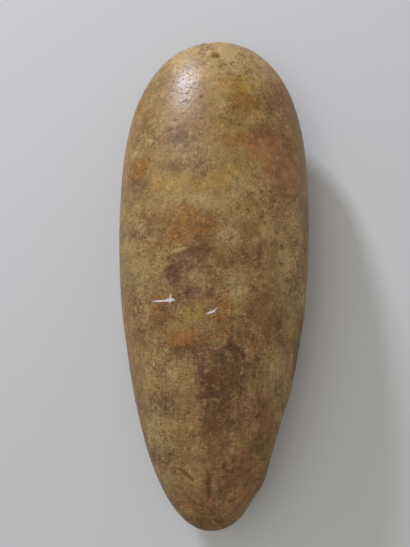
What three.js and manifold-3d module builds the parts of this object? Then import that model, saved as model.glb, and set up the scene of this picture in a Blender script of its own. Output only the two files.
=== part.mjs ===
// A ground and polished stone axe head: one piece of hard stone, lying on its broad face.
// Millimetres, +Z up. +Y points to the cutting edge, -Y to the butt, +X to the right margin.
import * as THREE from "three";
import { mergeVertices } from "three/addons/utils/BufferGeometryUtils.js";
import Module from "manifold-3d";

const wasm = await Module();
wasm.setup();

// ---- Driving dimensions ----

const LENGTH = 180; // butt to cutting edge
const HALF_WIDTH = 35; // axis to either margin, at the broadest station
const UPPER_RISE = 22; // margin plane up to the crown of the upper face
const LOWER_DROP = 21; // margin plane down to the belly of the lower face
const REST_FLAT_DEPTH = 0.6; // what is worn off the belly where the axe lies

const THICKEST_AT = 0.5; // share of the length, counted from the butt
const BUTT_DOME = [2.1, 2]; // the butt end in side view, as a superellipse quarter, nearly round
const EDGE_TAPER = [3, 1.5]; // the faces stay full, then curve down to a strong, blunt cutting edge

const OVAL = 2.1; // section power of the body: a plump oval with round margins
const LENS = 1.15; // section power at the cutting edge: a lens with sharp margins
const LENS_FROM = 0.5; // share of the length where the oval starts to become the lens
const LENS_AT = 0.95; // share of the length where it is one

// Hand grinding leaves the section this share too full or too lean, in waves along and around it.
const SWELL = 0.01;
const WAVES_ALONG = 9; // in radians over the whole length
const WAVES_AROUND = 2;
const GROUND_FACETS = 5;

// Mesh steps, along and around, of the body and of each scoop
const BODY_STEPS = [46, 60];
const SCOOP_STEPS = [44, 72];

const BODY_COLOUR = 0x8a6f4c;

// ---- Plan outline ----

// Each margin is two quarters of a superellipse that meet where the axe is broadest. A power
// over 2 on the first figure keeps the quarter broad for longer, and on the second makes it fuller.
const LEFT_MARGIN = { broadestAt: 0.65, butt: [1.95, 2.05], edge: [2.5, 2.1] };
const RIGHT_MARGIN = { broadestAt: 0.58, butt: [1.65, 2.25], edge: [2.95, 2.2] };

function quarter(a, [alongPower, fullness]) {
  return (1 - a ** alongPower) ** (1 / fullness);
}

function halfWidth(t, margin) {
  const { broadestAt, butt, edge } = margin;
  const share =
    t > broadestAt
      ? quarter((t - broadestAt) / (1 - broadestAt), edge)
      : quarter((broadestAt - t) / broadestAt, butt);
  return HALF_WIDTH * share;
}

// ---- Side profile ----

// The butt half is a round dome. The other half tapers to a line, which is the cutting edge.
function thicknessShare(t) {
  if (t < THICKEST_AT) return quarter((THICKEST_AT - t) / THICKEST_AT, BUTT_DOME);
  return quarter((t - THICKEST_AT) / (1 - THICKEST_AT), EDGE_TAPER);
}

// ---- Cross-section ----

function sectionPower(t) {
  return THREE.MathUtils.lerp(OVAL, LENS, THREE.MathUtils.smoothstep(t, LENS_FROM, LENS_AT));
}

function swell(t, around) {
  const lengthwise = Math.sin(WAVES_ALONG * t + 1.3) * Math.cos(WAVES_AROUND * around + 4 * t);
  const facets = Math.cos(GROUND_FACETS * around + 7 * t);
  return 1 + SWELL * (lengthwise + 0.5 * facets);
}

// The surface point at share t of the length, at an angle around the axis from +X towards +Z.
function surfacePoint(t, around) {
  const c = Math.cos(around);
  const s = Math.sin(around);
  const width = halfWidth(t, c < 0 ? LEFT_MARGIN : RIGHT_MARGIN);
  const height = (s < 0 ? LOWER_DROP : UPPER_RISE) * thicknessShare(t);
  const full = swell(t, around);
  return new THREE.Vector3(
    full * width * Math.sign(c) * Math.abs(c) ** (2 / OVAL),
    LENGTH * (t - 0.5),
    full * height * Math.sign(s) * Math.abs(s) ** (2 / sectionPower(t)),
  );
}

function outwardNormal(t, around) {
  const step = 1e-3;
  const alongT = surfacePoint(t + step, around).sub(surfacePoint(t - step, around));
  const aroundIt = surfacePoint(t, around + step).sub(surfacePoint(t, around - step));
  return aroundIt.cross(alongT).negate().normalize();
}

// ---- Solids ----

function toSolid(geometry) {
  const bare = geometry.clone();
  bare.deleteAttribute("normal");
  bare.deleteAttribute("uv");
  const merged = mergeVertices(bare, 1e-4);
  return new wasm.Manifold(
    new wasm.Mesh({
      numProp: 3,
      vertProperties: merged.attributes.position.array,
      triVerts: new Uint32Array(merged.index.array),
    }),
  );
}

function toGeometry(solid) {
  const { vertProperties, triVerts } = solid.getMesh();
  const geometry = new THREE.BufferGeometry();
  geometry.setAttribute("position", new THREE.BufferAttribute(vertProperties, 3));
  geometry.setIndex(new THREE.BufferAttribute(triVerts, 1));
  return geometry;
}

// A sphere with its poles at the butt and the cutting edge, and each point moved to the axe's surface.
function groundBody() {
  const [rings, segments] = BODY_STEPS;
  const geometry = new THREE.SphereGeometry(1, segments, rings);
  const point = new THREE.Vector3();
  const { position } = geometry.attributes;
  for (let i = 0; i < position.count; i++) {
    point.fromBufferAttribute(position, i);
    const t = THREE.MathUtils.clamp((1 + point.y) / 2, 0, 1);
    const around = Math.atan2(point.z, point.x);
    const moved = surfacePoint(t, around);
    position.setXYZ(i, moved.x, moved.y, moved.z);
  }
  return toSolid(geometry);
}

// ---- Flake scars and chips ----

// Each is a shallow scoop: `along` the length from the butt, `around` in degrees from the right margin
// up over the upper face, how `deep` it bites, and how far it is turned from the axe's own axis.
// `reach` is the scooping ellipsoid's half-axes: lengthwise, across and outwards.
const SCARS = [
  // right margin: three flakes in a row that grinding never took out
  { along: 0.49, around: 2, turn: 0, deep: 0.7, reach: [24, 40, 14] },
  { along: 0.37, around: 36, turn: 8, deep: 0.8, reach: [36, 13, 14] },
  { along: 0.19, around: 0, turn: -3, deep: 1.9, reach: [52, 42, 16] },
  // upper face: the broad spall behind the middle, in two overlapping bites
  { along: 0.53, around: 96, turn: 30, deep: 0.6, reach: [50, 44, 12] },
  { along: 0.46, around: 108, turn: -20, deep: 0.6, reach: [46, 40, 12] },
  // butt, upper face: facets left by rough flaking
  { along: 0.15, around: 116, turn: -25, deep: 0.8, reach: [34, 30, 12] },
  { along: 0.1, around: 62, turn: 30, deep: 0.8, reach: [28, 26, 12] },
  { along: 0.06, around: 12, turn: 0, deep: 0.9, reach: [24, 30, 12] },
  // lower face: old flakes from the left margin, the right margin and the butt
  { along: 0.3, around: 215, turn: 15, deep: 1.1, reach: [44, 28, 14] },
  { along: 0.62, around: 322, turn: -12, deep: 1.0, reach: [46, 30, 14] },
  { along: 0.12, around: 285, turn: -20, deep: 0.9, reach: [32, 28, 12] },
  // cutting edge: a lens-shaped spall from use on the upper face, and a smaller one below
  { along: 0.975, around: 112, turn: 80, deep: 0.4, reach: [36, 16, 8] },
  { along: 0.97, around: 300, turn: 95, deep: 0.35, reach: [28, 14, 8] },
];

function scoop({ along, around, turn, deep, reach }) {
  const [lengthwise, across, outwards] = reach;
  const angle = THREE.MathUtils.degToRad(around);
  const foot = surfacePoint(along, angle);
  const out = outwardNormal(along, angle);
  const side = new THREE.Vector3(0, 1, 0).cross(out).normalize();
  const forward = out.clone().cross(side).normalize();
  const pose = new THREE.Matrix4()
    .makeBasis(side, forward, out)
    .multiply(new THREE.Matrix4().makeRotationZ(THREE.MathUtils.degToRad(turn)))
    .scale(new THREE.Vector3(across, lengthwise, outwards));
  pose.setPosition(foot.addScaledVector(out, outwards - deep));
  const [rings, segments] = SCOOP_STEPS;
  return toSolid(new THREE.SphereGeometry(1, segments, rings).applyMatrix4(pose));
}

// ---- The flat that the axe lies on ----

function belowRestPlane() {
  const slab = new THREE.BoxGeometry(LENGTH, LENGTH, LOWER_DROP);
  slab.translate(0, 0, -LOWER_DROP + REST_FLAT_DEPTH - LOWER_DROP / 2);
  return toSolid(slab);
}

// ---- Assembly ----

// The origin is under the middle of the axe, on the rest flat.
function setOnOrigin(geometry) {
  geometry.computeBoundingBox();
  const { min, max } = geometry.boundingBox;
  return geometry.translate(-(min.x + max.x) / 2, -(min.y + max.y) / 2, -min.z);
}

function axeHead() {
  let solid = groundBody();
  for (const scar of SCARS) solid = solid.subtract(scoop(scar));
  solid = solid.subtract(belowRestPlane());
  const material = new THREE.MeshStandardMaterial({
    color: BODY_COLOUR,
    roughness: 0.42,
    metalness: 0,
    flatShading: true,
  });
  const mesh = new THREE.Mesh(setOnOrigin(toGeometry(solid)), material);
  mesh.name = "axe_head";
  return mesh;
}

const polishedStoneAxe = new THREE.Group();
polishedStoneAxe.add(axeHead());

export default polishedStoneAxe;
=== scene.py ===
# A ground and polished stone axe head, lying on its lower face on a pale table.
# Metres, +Z up: +Y points to the cutting edge, -Y to the butt and +X to the right margin.
import math
import random

import bpy
import numpy as np
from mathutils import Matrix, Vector, noise


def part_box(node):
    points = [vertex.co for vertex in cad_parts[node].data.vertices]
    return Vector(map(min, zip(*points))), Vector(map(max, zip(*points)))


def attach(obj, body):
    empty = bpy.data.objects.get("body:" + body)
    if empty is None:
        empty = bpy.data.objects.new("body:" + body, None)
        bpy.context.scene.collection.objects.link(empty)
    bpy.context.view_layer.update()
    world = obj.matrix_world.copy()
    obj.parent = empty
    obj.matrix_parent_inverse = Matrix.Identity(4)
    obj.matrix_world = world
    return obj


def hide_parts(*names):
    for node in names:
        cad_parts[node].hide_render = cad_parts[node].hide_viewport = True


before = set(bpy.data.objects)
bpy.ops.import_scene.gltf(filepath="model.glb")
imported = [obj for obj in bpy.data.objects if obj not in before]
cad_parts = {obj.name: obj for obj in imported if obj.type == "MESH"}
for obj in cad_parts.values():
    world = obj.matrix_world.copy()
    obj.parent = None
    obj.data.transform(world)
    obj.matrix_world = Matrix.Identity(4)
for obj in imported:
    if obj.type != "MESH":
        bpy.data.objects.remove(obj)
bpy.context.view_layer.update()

# ---- The axe head: the ground form ----
# The real piece is one block of hard stone. It was flaked and pecked to a plump oval bar, then ground
# on a wet slab until nearly all of the flaking was gone, and the end towards the cutting edge was polished.

MM = 0.001
GRAIN = 0.62 * MM  # the finest step of the stone's surface that is made in the mesh

low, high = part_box("axe_head")
middle_height = 0.5 * (low.z + high.z)

axe = bpy.data.objects.new("stone_axe_head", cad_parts["axe_head"].data.copy())
bpy.context.scene.collection.objects.link(axe)
axe.data.materials.clear()

bpy.ops.object.select_all(action="DESELECT")
bpy.context.view_layer.objects.active = axe
axe.select_set(True)
bpy.ops.object.mode_set(mode="EDIT")
bpy.ops.mesh.select_all(action="SELECT")
bpy.ops.mesh.remove_doubles(threshold=0.01 * MM)
bpy.ops.mesh.tris_convert_to_quads()
bpy.ops.object.mode_set(mode="OBJECT")


def finish_with(kind, **settings):
    """Adds a modifier to the axe head and applies it."""
    modifier = axe.modifiers.new(kind.lower(), kind)
    for name, value in settings.items():
        setattr(modifier, name, value)
    bpy.ops.object.modifier_apply(modifier=modifier.name)


# Grinding leaves long smooth curves with no flats, and wears every arris round.
finish_with("SUBSURF", levels=2, render_levels=2)
finish_with("REMESH", mode="VOXEL", voxel_size=GRAIN)
finish_with("SMOOTH", factor=0.5, iterations=12)

# ---- The axe head: scars, pits and ledges ----
# What the grinding never reached or what came later: the butt's pecked hollows, the ledge of a flake that
# broke off behind the middle, grooves on the right margin, spalls and pits at the cutting edge.

vertices = axe.data.vertices
count = len(vertices)
place = np.empty(count * 3)
vertices.foreach_get("co", place)
place = place.reshape(-1, 3)
outward = np.empty(count * 3)
vertices.foreach_get("normal", outward)
outward = outward.reshape(-1, 3)

sink = np.zeros(count)  # how far each point of the surface goes in, in metres
# how much each point is darkened with umber, 0 to 1: soil and painted shade in the hollows
hollow_soil_and_shade = np.zeros(count)  # how much soil is left in it, 0 to 1


def ripple(size, drawn_out=1.0):
    """Smooth noise on the surface, about -1 to 1, with waves `size` millimetres long across the axe head
    and `drawn_out` times as long along it."""
    steps = place / (size * MM) * np.array([1, 1 / drawn_out, 1]) + size
    return np.array([noise.noise(Vector(step)) for step in steps.tolist()])


# The surface still waves a little where it was pecked, less so where it was polished.
pecked = np.clip((50 - place[:, 1] / MM) / 80, 0.1, 1)
sink += 0.16 * MM * ripple(17) * (0.4 + 0.6 * pecked)
sink += 0.08 * MM * ripple(7, 1.4) * pecked
sink += 0.05 * MM * ripple(3.1, 1.3) * pecked
# The stone is faintly layered along its length, which shows as fine ribs from the middle to the butt.
layered = np.clip((10 - place[:, 1] / MM) / 30, 0, 1)
sink += 0.05 * MM * ripple(1.9, 5) * layered


def on_the_surface(x, y, from_above=True):
    """The point of the axe head above or below (x, y), given in millimetres, and the way that it faces."""
    start = Vector((x * MM, y * MM, high.z + 1 if from_above else low.z - 1))
    found, point, normal, _ = axe.ray_cast(start, Vector((0, 0, -1 if from_above else 1)))
    if not found:
        raise ValueError(f"({x}, {y}) isn't on the axe head")
    return point, normal


jagged = ripple(2.3) + 0.5 * ripple(1.2)
REACH_OUT = 8  # millimetres outwards or inwards, so that a mark never shows through on the other face


def mark(x, y, turn, length, width, depth, tail=None, jag=1.0, soil_and_shade=1.0, from_above=True):
    """Sinks a dent into the surface, in millimetres, with its long side turned from +X by degrees.

    Across it, one side falls off in `width`. The other, to the right of its direction, takes `tail`:
    a tail like the width makes a groove, and a long one makes the sharp lip of a flake scar. `jag`
    makes its line wander. A negative depth raises a ridge. It acts only within REACH_OUT of its place."""
    centre, normal = on_the_surface(x, y, from_above)
    along = Vector((math.cos(math.radians(turn)), math.sin(math.radians(turn)), 0))
    along = (along - along.dot(normal) * normal).normalized()
    across = along.cross(normal).normalized()
    reach = place - np.array(centre)
    u = reach @ np.array(along) / MM / (length / 2)
    v = reach @ np.array(across) / MM + jag * jagged
    out = np.abs(reach @ np.array(normal)) / MM
    fall = np.where(v < 0, width / 2, (tail or width) / 2)
    share = np.exp(-((v / fall) ** 2)) * np.clip(1.25 - np.abs(u) ** 3, 0, 1) * (out < REACH_OUT)
    sink[:] += depth * MM * share
    # the dent's hollow is darkened in colour: soil and painted shade
    hollow_soil_and_shade[:] += soil_and_shade * np.clip(share * 1.6 - 0.6, 0, 1) * (depth > 0)


# the flake scar behind the middle: a sharp broken lip towards the cutting edge, a rough floor below it
mark(-12, 11.4, 22, 10, 0.7, 0.35, tail=9, soil_and_shade=0.4)
mark(-4, 13.0, -4, 9, 0.7, 0.3, tail=8, soil_and_shade=0.4)
mark(3.4, 9.6, -52, 10, 0.9, 0.3, tail=5, soil_and_shade=0.5)
mark(-11, 12.6, 22, 8, 1.0, -0.08)
mark(-15.3, 4.5, 62, 7, 2.6, 0.3, soil_and_shade=0.6)
mark(-6.5, -1.8, 10, 6, 2.6, 0.3, soil_and_shade=0.6)
mark(-1.1, -1.9, 70, 4, 2.2, 0.2, soil_and_shade=0.6)
# the line right of it where a second flake stopped
mark(15.7, 12, 86, 9, 0.8, 0.25, tail=5, soil_and_shade=0.5)
mark(11.5, 17, 30, 8, 0.9, 0.15, tail=4, soil_and_shade=0.3)
# a low step at the broad brown patch behind the middle
mark(9, -21.5, -48, 9, 1.0, 0.3, tail=5, soil_and_shade=0.6)
mark(10.5, -31, 80, 11, 1.2, -0.15)
# grooves along the right margin, left over from flaking
mark(30.6, -26, 88, 16, 1.0, 0.5, tail=2.2, soil_and_shade=0.6)
mark(28.8, -31, 82, 14, 1.0, 0.35, soil_and_shade=0.4)
mark(27.0, -36, 78, 12, 0.9, 0.25, soil_and_shade=0.3)
mark(32.1, -13, 92, 9, 1.0, 0.35, soil_and_shade=0.4)
# the butt: a fan of flake ridges round a notch
mark(-8.4, -66.8, -37, 8, 0.9, 0.35, soil_and_shade=1.0)
mark(-6.0, -64.5, -48, 9, 1.0, 0.25, tail=3, soil_and_shade=0.3)
mark(-0.7, -70.5, 92, 12, 1.1, 0.4, tail=2.6, soil_and_shade=1.0)
mark(-3.1, -70, 75, 6, 1.6, -0.2)
mark(-4.6, -73.2, 35, 5, 1.2, -0.15)
mark(-1.5, -77.3, -21, 10, 1.0, -0.16)
mark(-1.8, -78.8, -21, 9, 1.0, 0.22, soil_and_shade=0.5)
mark(13.1, -68.4, 61, 9, 0.8, -0.15)
mark(14.3, -68.8, 61, 9, 0.9, 0.25, soil_and_shade=0.7)
mark(11.6, -75.9, 58, 6, 0.8, -0.14)
mark(12.6, -76.2, 58, 6, 0.9, 0.22, soil_and_shade=0.6)
mark(6.5, -62.5, 40, 7, 1.0, 0.2, tail=4, soil_and_shade=0.3)
mark(19.2, -60, 68, 9, 1.2, 0.25, soil_and_shade=0.7)
mark(-13, -73, -62, 9, 1.2, 0.18, tail=4, soil_and_shade=0.3)
mark(3, -84.2, -30, 4, 2.0, 0.2, soil_and_shade=0.9)
# the cutting edge: a hair crack and a small spall
mark(-10.5, 85.2, 2, 8, 0.7, 0.14, jag=0.5, soil_and_shade=0.5)
mark(-8, 88.4, 8, 12, 1.6, 0.25, soil_and_shade=0.1)
# the lower face, which the soil kept duller: three old flake edges and their hollows
mark(10, 30, 25, 16, 1.1, 0.35, tail=10, soil_and_shade=0.6, from_above=False)
mark(-16, -8, -60, 14, 1.1, 0.35, tail=8, soil_and_shade=0.6, from_above=False)
mark(6, -58, 15, 12, 1.2, 0.35, tail=8, soil_and_shade=0.7, from_above=False)

# Peck marks: small round pits from the hammer stone, thick at the butt and nearly all polished away at
# the cutting edge. Each gives its place, radius and depth in millimetres.
chance = random.Random(7)


def pit(centre, radius, depth, soil_and_shade):
    gap = np.linalg.norm(place - np.array(centre), axis=1) / (radius * MM)
    share = np.exp(-(gap**2))
    sink[:] += depth * MM * share
    # the pit's hollow is darkened in colour: soil and painted shade
    hollow_soil_and_shade[:] += soil_and_shade * np.clip(share * 1.5 - 0.3, 0, 1)


PECK_MARKS = 420  # places tried; most of those near the cutting edge are left out
for _ in range(PECK_MARKS):
    point = place[chance.randrange(count)]
    if chance.random() < np.clip((45 - point[1] / MM) / 120, 0.03, 1):
        pit(point, chance.uniform(0.5, 1.1), chance.uniform(0.06, 0.2), chance.uniform(0.1, 0.9))

# where pits crowd together: x, y, spread, how many, radius and depth
PIT_CROWDS = [
    (-4, 86, 3.0, 16, 0.55, 0.09),
    (-0.6, 83, 1.6, 6, 0.6, 0.13),
    (1.3, 79.8, 1.8, 7, 0.5, 0.08),
    (-10.5, 64.8, 1.2, 2, 0.6, 0.08),
    (-5, 66.8, 0.7, 2, 0.6, 0.08),
    (-14, 54, 4.5, 14, 0.6, 0.06),
    (-14.8, 4.2, 2.4, 12, 0.7, 0.14),
    (-5, 10, 5.0, 14, 0.7, 0.14),
    (18, -55, 4.0, 16, 0.7, 0.2),
    (7.5, -63, 3.0, 9, 0.7, 0.2),
    (-18, -42, 4.5, 18, 0.7, 0.16),
]
for x, y, spread, how_many, radius, depth in PIT_CROWDS:
    centre, _ = on_the_surface(x, y)
    near = np.flatnonzero(np.linalg.norm(place - np.array(centre), axis=1) < spread * MM)
    for _ in range(how_many):
        point = place[near[chance.randrange(len(near))]]
        pit(point, radius * chance.uniform(0.8, 1.3), depth * chance.uniform(0.6, 1.3), 0.9)

# The worn flat that the axe head lies on stays as ground.
FLAT_UP_TO = 0.4  # millimetres above the table
FULL_RELIEF_AFTER = 2  # millimetres more
sink *= np.clip((place[:, 2] / MM - FLAT_UP_TO) / FULL_RELIEF_AFTER, 0, 1)

vertices.foreach_set("co", (place - outward * sink[:, None]).ravel())
axe.data.update()

# the hollows' darkening, soil and painted shade, is carried to the stone's colour
soil_and_shade = axe.data.attributes.new("soil_and_shade", "FLOAT", "POINT")
soil_and_shade.data.foreach_set("value", np.clip(hollow_soil_and_shade, 0, 1))

bpy.ops.object.shade_smooth()

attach(axe, "root")
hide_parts("axe_head")


# ---- The axe head: the stone ----
# Hard stone, mottled by long lying in soil: a tan body with cream, ochre and grey clouds, rust stains and
# dark specks. The polish shows as a tight highlight at the cutting edge, and fades to a dull skin at the butt.


def linear(colour):
    """An sRGB hex colour as the linear RGBA that a socket takes."""
    parts = [int(colour[i : i + 2], 16) / 255 for i in (1, 3, 5)]
    return [c / 12.92 if c <= 0.04045 else ((c + 0.055) / 1.055) ** 2.4 for c in parts] + [1]


def add(kind, inputs=None, **settings):
    """Adds a node to the stone with its settings, and fills or links its inputs."""
    node = tree.nodes.new(kind)
    for name, value in settings.items():
        setattr(node, name, value)
    for socket, value in (inputs or {}).items():
        if isinstance(value, bpy.types.NodeSocket):
            tree.links.new(value, node.inputs[socket])
        else:
            node.inputs[socket].default_value = value
    return node


stone = bpy.data.materials.new("patinated_polished_stone")
stone.use_nodes = True
tree = stone.node_tree
shader = tree.nodes["Principled BSDF"]

EARTHS = {
    "tan": linear("#937343"),
    "bone": linear("#b79a66"),
    "lichen": linear("#a38e5c"),
    "ochre": linear("#9f782c"),
    "olive": linear("#705929"),
    "rust": linear("#8d5814"),
    "brick": linear("#996240"),
    "brown": linear("#70491d"),
    "ash": linear("#6e5838"),
    "umber": linear("#573518"),
    "chalk": linear("#e9e7e8"),
}

# Every pattern is drawn in millimetres.
spot = add("ShaderNodeTexCoord").outputs["Object"]
spot = add("ShaderNodeVectorMath", {0: spot, 3: 1 / MM}, operation="SCALE").outputs[0]
along = add("ShaderNodeSeparateXYZ", {0: spot}).outputs[1]

# All stains share one broken noise, so that no edge is a clean curve and each one breaks into islands.
inputs = {"Vector": spot, "Scale": 1 / 6, "Detail": 6, "Roughness": 0.8}
broken = add("ShaderNodeTexNoise", inputs, normalize=False).outputs[0]


def stain_and_painted_light(under, x, y, length, width, turn, earth, strength, ragged=0.22, soft=0.4, from_above=True):
    """Lays a patch of colour over a colour: a stain, and in a few places painted shade and a painted
    highlight.
    Place and size in millimetres, `turn` from +X in degrees. `ragged` is how far the broken noise moves its
    edge and `soft` how wide the edge fades, as shares of its size."""
    centre, _ = on_the_surface(x, y, from_above)
    inputs = {
        "Vector": spot,
        "Location": centre / MM,
        "Rotation": (0, 0, math.radians(turn)),
        "Scale": (length, width, max(length, width)),
    }
    local = add("ShaderNodeMapping", inputs, vector_type="TEXTURE").outputs[0]
    # 1 at the centre, 0.5 at the stain's own size, 0 at twice that
    nearness = add("ShaderNodeTexGradient", {0: local}, gradient_type="SPHERICAL").outputs["Fac"]
    inputs = {0: broken, 1: ragged, 2: nearness}
    nearness = add("ShaderNodeMath", inputs, operation="MULTIPLY_ADD").outputs[0]
    inputs = {"Value": nearness, 1: 0.35, 2: 0.35 + soft, 3: 0, 4: strength}
    cover = add("ShaderNodeMapRange", inputs, interpolation_type="SMOOTHSTEP").outputs[0]
    return add("ShaderNodeMix", {0: cover, 6: under, 7: EARTHS[earth]}, data_type="RGBA").outputs[2]


# x, y, length, width, turn, earth and strength of each patch on the upper face. One gives `ragged` too. Most
# are stains; the ones noted below also hold painted shade or a painted highlight.
STAINS_AND_PAINTED_LIGHT = [
    # towards the cutting edge
    (5, 81, 44, 20, 0, "bone", 0.6),
    # paler stone, and painted highlight haze round the polish highlight
    (-12, 85, 18, 9, 20, "bone", 0.6),
    # the next three darken pits at the cutting edge: soil and painted shade
    (-3.5, 86.5, 8, 4, -20, "brown", 0.45),
    (-0.6, 83, 4.5, 4, -45, "brown", 0.7),
    (1.6, 79.5, 4.5, 3, -60, "brown", 0.45),
    (-16, 82, 9, 6, 40, "brick", 0.3),
    (-21.7, 72, 11, 5, 35, "olive", 0.6),
    (8, 71.5, 15, 7, -5, "ochre", 0.75),
    (9.2, 65.4, 14, 8, -15, "rust", 0.6),
    (17.7, 65.4, 10, 7, 0, "olive", 0.45),
    (-28.4, 65, 4, 8, 15, "rust", 0.8),
    (-25.3, 59, 5, 10, -10, "brown", 0.6),
    # the next two darken pits: soil and painted shade
    (-10.5, 64.8, 2.4, 2.4, 0, "umber", 0.55),
    (-5, 66.8, 1.8, 1.8, 0, "umber", 0.6),
    (3, 57, 10, 6, 0, "ochre", 0.5),
    (14, 60, 9, 5, 30, "bone", 0.4),
    # this one darkens a crowd of pits: soil and painted shade
    (-14, 55, 9, 5, 20, "brown", 0.5),
    (-13.6, 50, 15, 9, 10, "ash", 0.75),
    (9.7, 51.8, 19, 6, 4, "rust", 0.6),
    (20.5, 49, 20, 26, 0, "brick", 0.7),
    (24, 70, 12, 22, 20, "brick", 0.4),
    (25, 34, 14, 24, 0, "brick", 0.6),
    (-27, 41, 9, 9, 0, "rust", 0.7),
    (-28, 35, 10, 8, 0, "ash", 0.6),
    (-26, 50, 6, 9, 0, "bone", 0.4),
    (-11, 42.3, 17, 5, 10, "brown", 0.5),
    (-9.3, 35, 23, 10, 0, "ochre", 0.6),
    (1.5, 38, 14, 10, 20, "ochre", 0.55),
    (13, 34, 15, 13, 0, "bone", 0.55),
    (-7, 29, 22, 7, 0, "lichen", 0.6),
    (7, 27, 12, 5, 0, "ochre", 0.4),
    # the middle
    (-9, 21.5, 22, 15, -15, "rust", 0.85),
    (-13, 17, 9, 11, 0, "rust", 0.6),
    (6, 17.5, 10, 7, 0, "bone", 0.7),
    (12, 20, 9, 5, 30, "brown", 0.4),
    (2.2, 10, 13, 5, -50, "rust", 0.85),
    (-5, 3, 26, 26, 0, "brown", 0.35),
    (-6.5, 9.3, 18, 8, 5, "brown", 0.8),
    # a pale line on the flake scar's lip: painted highlight where the raised lip catches the daylight lamp
    (-12, 12.4, 8, 1.4, 22, "bone", 0.6, 0.3),
    # the next one darkens the pits and the dent there: soil and painted shade
    (-14.7, 4, 5, 7.5, 0, "umber", 0.85),
    (-27, 6, 9, 38, 4, "lichen", 0.55),
    (-6, 3.5, 9, 5, -20, "lichen", 0.4),
    (1, 2.5, 9, 9, 0, "ochre", 0.4),
    (7, -0.5, 8, 11, 0, "lichen", 0.85),
    # the next two darken two dents: soil and painted shade
    (-6.5, -1.8, 8, 4, 10, "umber", 0.65),
    (-1.1, -1.8, 4.5, 5, 0, "brown", 0.75),
    # a dark line beside the step where the second flake stopped: soil and painted shadow
    (16, 10, 3, 12, 0, "brown", 0.5),
    (27, 10, 11, 50, 0, "bone", 0.75),
    (20, 22, 8, 12, 0, "bone", 0.35),
    (-17, -4, 10, 5, 0, "rust", 0.5),
    (-16.7, -10.8, 9, 9, 0, "rust", 0.75),
    (-7, -10, 15, 6, 0, "ochre", 0.5),
    (3.8, -6.5, 8, 14, 10, "rust", 0.65),
    (-10.5, -18.4, 20, 8, -5, "rust", 0.8),
    (3, -15.4, 10, 5, 0, "rust", 0.5),
    (17.8, -12.5, 14, 25, 0, "brown", 0.55),
    (31.5, -14, 2.5, 8, 0, "rust", 0.7),
    (30.5, -24, 4, 15, 3, "ash", 0.6),
    # a dark line along a margin groove: soil and painted shade
    (28, -30, 1.6, 16, 8, "brown", 0.5),
    (24, -34, 11, 34, 8, "bone", 0.6),
    (8.2, -22.8, 8, 6, -35, "umber", 0.9),
    (-8.6, -22.6, 16, 6, 0, "umber", 0.7),
    (5.2, -29.5, 21, 18, 20, "umber", 0.8),
    (2, -37, 15, 13, 30, "umber", 0.7),
    # towards the butt
    (1, -44, 10, 20, 0, "umber", 0.6),
    (0, -53, 13, 14, 0, "brown", 0.5),
    (-18, -29, 12, 18, 0, "lichen", 0.5),
    (-18, -42.5, 13, 9, -20, "ash", 0.7),
    (-19, -53, 12, 22, 12, "lichen", 0.75),
    (-20.5, -61.3, 3.6, 4.4, 0, "rust", 0.9),
    (16, -46, 16, 18, 0, "brick", 0.5),
    (17.5, -55, 8, 8, 0, "olive", 0.45),
    (8, -64, 18, 14, 0, "brick", 0.6),
    (7.8, -71, 8, 4, 0, "brick", 0.6),
    (-15.5, -68, 9, 8, 30, "lichen", 0.6),
    # the next two are dark strokes along the butt's notch and a groove: soil and painted shade
    (-8.4, -66.8, 9, 1.6, -37, "brown", 0.6),
    (-0.6, -71, 1.8, 12, 0, "brown", 0.6),
    (-6, -77, 14, 9, 0, "brick", 0.5),
    (12, -78, 12, 12, 0, "brick", 0.5),
    # this one darkens a dent near the butt: soil and painted shade
    (3, -84.2, 3.5, 3.5, 0, "umber", 0.6),
    (0, -87.5, 34, 8, 0, "brown", 0.6),
]
colour = EARTHS["tan"]
for placed in STAINS_AND_PAINTED_LIGHT:
    colour = stain_and_painted_light(colour, *placed)

# the lower face: fewer and broader stains of the same earths
LOWER_STAINS = [
    (5, 70, 34, 22, 10, "bone", 0.5),
    (-14, 52, 18, 14, 20, "brick", 0.45),
    (12, 38, 20, 12, -20, "ochre", 0.5),
    (-6, 22, 24, 12, 15, "rust", 0.6),
    (16, 8, 12, 20, 0, "lichen", 0.6),
    (-18, -6, 14, 24, 0, "lichen", 0.5),
    (3, -14, 20, 14, 30, "umber", 0.6),
    (-8, -36, 16, 18, 0, "brown", 0.6),
    (12, -46, 14, 20, 0, "ash", 0.5),
    (-4, -66, 22, 14, 0, "brick", 0.45),
]
for placed in LOWER_STAINS:
    colour = stain_and_painted_light(colour, *placed, from_above=False)

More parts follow.
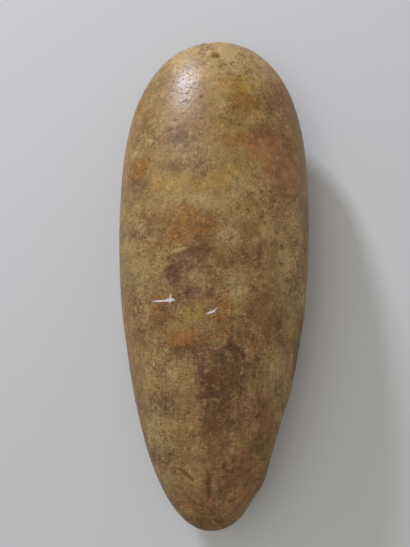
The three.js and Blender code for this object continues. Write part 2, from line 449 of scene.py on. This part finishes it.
# Mottling by soil water. Freckles join into a net in some places and are missing in others: for each
# kind its size in millimetres, how far it is drawn out along the axe, where it starts and is full on the
# noise, its earth and its strength.
inputs = {"Vector": spot, "Scale": 1 / 13, "Detail": 2, "Roughness": 0.6}
crowd = add("ShaderNodeTexNoise", inputs, normalize=False).outputs[0]
FRECKLES = [
    (5.0, 1.3, 0.2, 0.95, "brown", 0.35),
    (5.5, 1.3, 0.2, 0.9, "bone", 0.35),
    (2.2, 1.3, 0.3, 0.9, "brown", 0.5),
    (2.1, 1.3, 0.3, 0.9, "bone", 0.4),
    (1.6, 1.0, 0.55, 0.75, "umber", 0.6),
    (0.9, 1.0, 0.4, 0.75, "umber", 0.5),
]
masks = []
for number, (size, drawn_out, start, full, earth, strength) in enumerate(FRECKLES):
    inputs = {"Vector": spot, "Location": (31 * number, 0, 0), "Scale": (1, drawn_out, 1)}
    vector = add("ShaderNodeMapping", inputs, vector_type="TEXTURE").outputs[0]
    inputs = {"Vector": vector, "Scale": 1 / size, "Detail": 4, "Roughness": 0.75}
    fleck = add("ShaderNodeTexNoise", inputs, normalize=False).outputs[0]
    if earth != "bone":
        inputs = {0: crowd, 1: 0.35, 2: fleck}
        fleck = add("ShaderNodeMath", inputs, operation="MULTIPLY_ADD").outputs[0]
    inputs = {"Value": fleck, 1: start, 2: full, 3: 0, 4: strength}
    cover = add("ShaderNodeMapRange", inputs, interpolation_type="SMOOTHSTEP").outputs[0]
    colour = add("ShaderNodeMix", {0: cover, 6: colour, 7: EARTHS[earth]}, data_type="RGBA").outputs[2]
    masks.append(cover)
speck = masks[-1]

# a net of thin rusty veins, as water draws them
inputs = {"Vector": spot, "Scale": 1 / 6, "Detail": 4, "Roughness": 0.75}
vein = add("ShaderNodeTexNoise", inputs, normalize=False).outputs[0]
vein = add("ShaderNodeMath", {0: vein}, operation="ABSOLUTE").outputs[0]
vein = add("ShaderNodeMath", {0: crowd, 1: -0.12, 2: vein}, operation="MULTIPLY_ADD").outputs[0]
inputs = {"Value": vein, 1: 0.1, 2: 0.0, 3: 0, 4: 0.4}
cover = add("ShaderNodeMapRange", inputs, interpolation_type="SMOOTHSTEP").outputs[0]
colour = add("ShaderNodeMix", {0: cover, 6: colour, 7: EARTHS["brown"]}, data_type="RGBA").outputs[2]

# the grain of the stone itself, lighter and darker by a quarter or so, down to a quarter of a millimetre
inputs = {"Vector": spot, "Scale": 1 / 8, "Detail": 5, "Roughness": 0.95}
mineral = add("ShaderNodeTexNoise", inputs, normalize=False).outputs[0]
shade = add("ShaderNodeMapRange", {"Value": mineral, 1: -1.6, 2: 1.6, 3: 0.72, 4: 1.28}).outputs[0]
colour = add("ShaderNodeVectorMath", {0: colour, 3: shade}, operation="SCALE").outputs[0]

# fine fibres along the axe from the middle to the butt, a millimetre across
inputs = {"Vector": spot, "Scale": (1, 9, 1)}
vector = add("ShaderNodeMapping", inputs, vector_type="TEXTURE").outputs[0]
inputs = {"Vector": vector, "Scale": 1 / 1.2, "Detail": 2}
fibre = add("ShaderNodeTexNoise", inputs, normalize=False).outputs[0]
inputs = {"Value": along, 1: 25, 2: -25, 3: 0.03, 4: 0.22}
fibrous = add("ShaderNodeMapRange", inputs, interpolation_type="SMOOTHSTEP").outputs[0]
shade = add("ShaderNodeMath", {0: fibre, 1: fibrous, 2: 1.0}, operation="MULTIPLY_ADD").outputs[0]
colour = add("ShaderNodeVectorMath", {0: colour, 3: shade}, operation="SCALE").outputs[0]

# soil and painted shade in every hollow: the hollows are darkened with umber
hollow = add("ShaderNodeAttribute", attribute_name="soil_and_shade").outputs["Fac"]
cover = add("ShaderNodeMath", {0: hollow, 1: 0.55}, operation="MULTIPLY").outputs[0]
colour = add("ShaderNodeMix", {0: cover, 6: colour, 7: EARTHS["umber"]}, data_type="RGBA").outputs[2]

# two fresh scuffs show the chalky stone under the skin: x, y, length, width, turn, earth and strength
SCUFFS = [
    (-18.6, -5.2, 5.6, 0.6, 5, "chalk", 0.8),
    (-15.1, -4.8, 3.4, 1.2, 8, "chalk", 0.8),
    (-15.0, -4.4, 3.6, 0.8, 84, "chalk", 0.6),
    (-0.9, -8.7, 3.8, 0.8, 20, "chalk", 0.75),
    (0.4, -7.9, 2.6, 0.5, 35, "chalk", 0.5),
]
for placed in SCUFFS:
    colour = stain_and_painted_light(colour, *placed, ragged=0.1, soft=0.35)
tree.links.new(colour, shader.inputs["Base Color"])

# The polish is best at the cutting edge. Behind the middle the skin is dull.
inputs = {"Value": along, 1: 75, 2: -30, 3: 0.34, 4: 0.5}
dull = add("ShaderNodeMapRange", inputs, interpolation_type="SMOOTHSTEP").outputs[0]
dull = add("ShaderNodeMath", {0: mineral, 1: 0.04, 2: dull}, operation="MULTIPLY_ADD").outputs[0]
dull = add("ShaderNodeMath", {0: speck, 1: 0.3, 2: dull}, operation="MULTIPLY_ADD").outputs[0]
tree.links.new(dull, shader.inputs["Roughness"])
shader.inputs["Specular IOR Level"].default_value = 0.4

# Grain and pits too fine for the mesh, as heights in millimetres: the polish has worn the grain down to
# little at the cutting edge.
inputs = {"Vector": spot, "Scale": 1 / 0.9, "Detail": 3, "Roughness": 0.7}
grit = add("ShaderNodeTexNoise", inputs, normalize=False).outputs[0]
inputs = {"Value": along, 1: 70, 2: -30, 3: 0.012, 4: 0.09}
coarse = add("ShaderNodeMapRange", inputs, interpolation_type="SMOOTHSTEP").outputs[0]
height = add("ShaderNodeMath", {0: grit, 1: coarse}, operation="MULTIPLY").outputs[0]
pitted = add("ShaderNodeMath", {0: speck, 1: coarse}, operation="MULTIPLY").outputs[0]
height = add("ShaderNodeMath", {0: pitted, 1: -1.5, 2: height}, operation="MULTIPLY_ADD").outputs[0]
bump = add("ShaderNodeBump", {"Height": height, "Distance": MM, "Strength": 1.0})
tree.links.new(bump.outputs[0], shader.inputs["Normal"])
axe.data.materials.append(stone)

# ---- The table ----
# A plain matt pale table top. It isn't part of the object.

TABLE_RADIUS = 4  # wide enough that its rim is never seen from above

bpy.ops.object.select_all(action="DESELECT")
bpy.ops.mesh.primitive_circle_add(vertices=96, radius=TABLE_RADIUS, fill_type="NGON")
table = bpy.context.object
table.name = "table_top"
matt = bpy.data.materials.new("matt_pale_laminate")
matt.use_nodes = True
matt_shader = matt.node_tree.nodes["Principled BSDF"]
matt_shader.inputs["Base Color"].default_value = linear("#cfcfd0")
matt_shader.inputs["Roughness"].default_value = 0.8
table.data.materials.append(matt)

# ---- The light ----
# One soft daylight lamp from the left of the cutting edge, low enough to rake the surface, a wide and
# slightly warm fill high on the left, and the faint even light of the room.

DAYLIGHT_DISTANCE = 1.0
DAYLIGHT_CLIMB = math.radians(22)
DAYLIGHT_TURN = math.atan2(0.87, -0.5)
DAYLIGHT_SIZE = 2 * DAYLIGHT_DISTANCE * math.tan(math.radians(3.5))  # seven degrees across
COOL_WHITE = (0.8, 0.85, 1.0)
WARM_WHITE = (1.0, 0.98, 0.93)


def lamp(name, turn, climb, distance, size, power, colour):
    """A round lamp that looks at the foot of the axe head's middle, from `turn` around +Z and `climb` up."""
    data = bpy.data.lights.new(name, "AREA")
    data.shape = "DISK"
    data.size = size
    data.energy = power
    data.color = colour
    lamp_object = bpy.data.objects.new(name, data)
    bpy.context.scene.collection.objects.link(lamp_object)
    flat = math.cos(climb) * distance
    lamp_object.location = (flat * math.cos(turn), flat * math.sin(turn), math.sin(climb) * distance)
    lamp_object.rotation_euler = (-lamp_object.location).to_track_quat("-Z", "Y").to_euler()
    lamp_object.visible_camera = False


lamp("daylight", DAYLIGHT_TURN, DAYLIGHT_CLIMB, DAYLIGHT_DISTANCE, DAYLIGHT_SIZE, 8.2, COOL_WHITE)
lamp("fill", math.radians(150), math.radians(70), 1.6, 1.5, 8.4, WARM_WHITE)

world = bpy.data.worlds.new("room")
bpy.context.scene.world = world
world.use_nodes = True
background = world.node_tree.nodes["Background"]
background.inputs["Color"].default_value = (*WARM_WHITE, 1)
background.inputs["Strength"].default_value = 0.3

# ---- The camera ----
# It looks straight down, turned a degree, so that the axe head leans a little to the right.

LENS = 60
SENSOR = 36
VIEW_HEIGHT = 0.2008  # what the picture takes in from top to bottom, at the axe head's middle height
AIM = Vector((-3.1 * MM, 4.6 * MM, middle_height))
ROLL = math.radians(0.95)

camera_data = bpy.data.cameras.new("camera")
camera_data.lens = LENS
camera_data.sensor_width = SENSOR
camera = bpy.data.objects.new("camera", camera_data)
bpy.context.scene.collection.objects.link(camera)
camera.location = AIM + Vector((0, 0, VIEW_HEIGHT * LENS / SENSOR))
camera.rotation_euler = (0, 0, ROLL)
bpy.context.scene.camera = camera
bpy.context.scene.view_settings.view_transform = "Standard"
